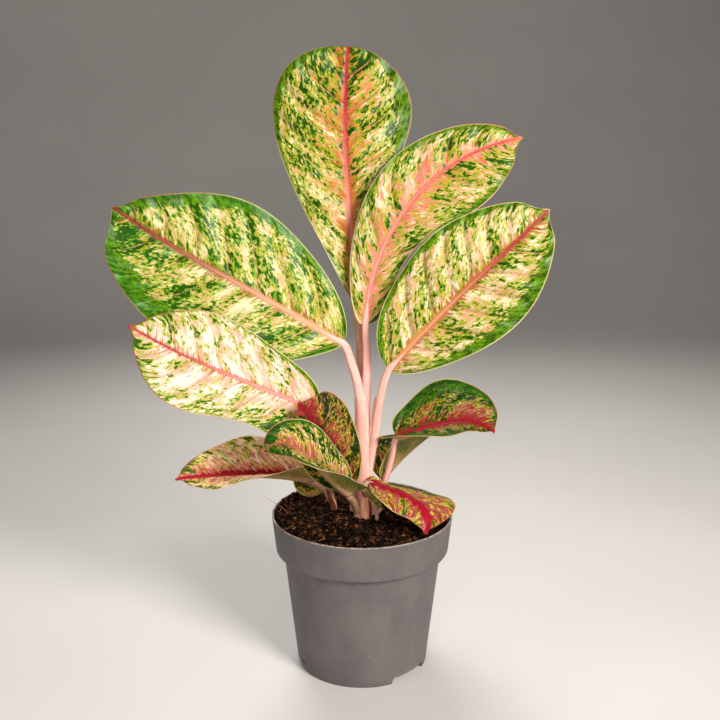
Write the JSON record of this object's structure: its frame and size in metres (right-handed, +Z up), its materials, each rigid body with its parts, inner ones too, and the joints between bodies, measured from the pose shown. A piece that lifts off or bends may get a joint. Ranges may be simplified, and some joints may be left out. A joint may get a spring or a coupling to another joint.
{
  "type": "potted plant",
  "caption": "Chinese evergreen with broad speckled pink and green leaves on pale stems, rooted in soil in a plastic pot with a deep rim band.",
  "frame": {"origin": "centre of the pot's resting plane", "axes": "+Z up, -Y towards the plant's front, +X to the right as seen from the front"},
  "size_m": [0.276, 0.1355, 0.4052],
  "materials": {
    "pot": "smooth matte warm grey, scuffed at the rim",
    "soil": "crumbly dark peat with orange-brown fibres",
    "stem": "smooth pale pink living stem with a soft sheen",
    "leaf": "waxy leaf, cream and pink ground with green speckles, crimson midrib and thin pink edge"
  },
  "bodies": {
    "root": {"pot": "pot", "soil": "soil", "main_stem": "stem", "left_stem": "stem", "leaf_crown": "leaf", "leaf_upper_right": "leaf", "leaf_right": "leaf", "leaf_left": "leaf", "leaf_lower_left": "leaf", "leaf_front_round": "leaf", "leaf_low_left": "leaf", "leaf_front": "leaf", "leaf_low_right": "leaf", "leaf_back_right": "leaf", "leaf_front_right": "leaf", "leaf_back_left": "leaf"}
  },
  "joints": []
}
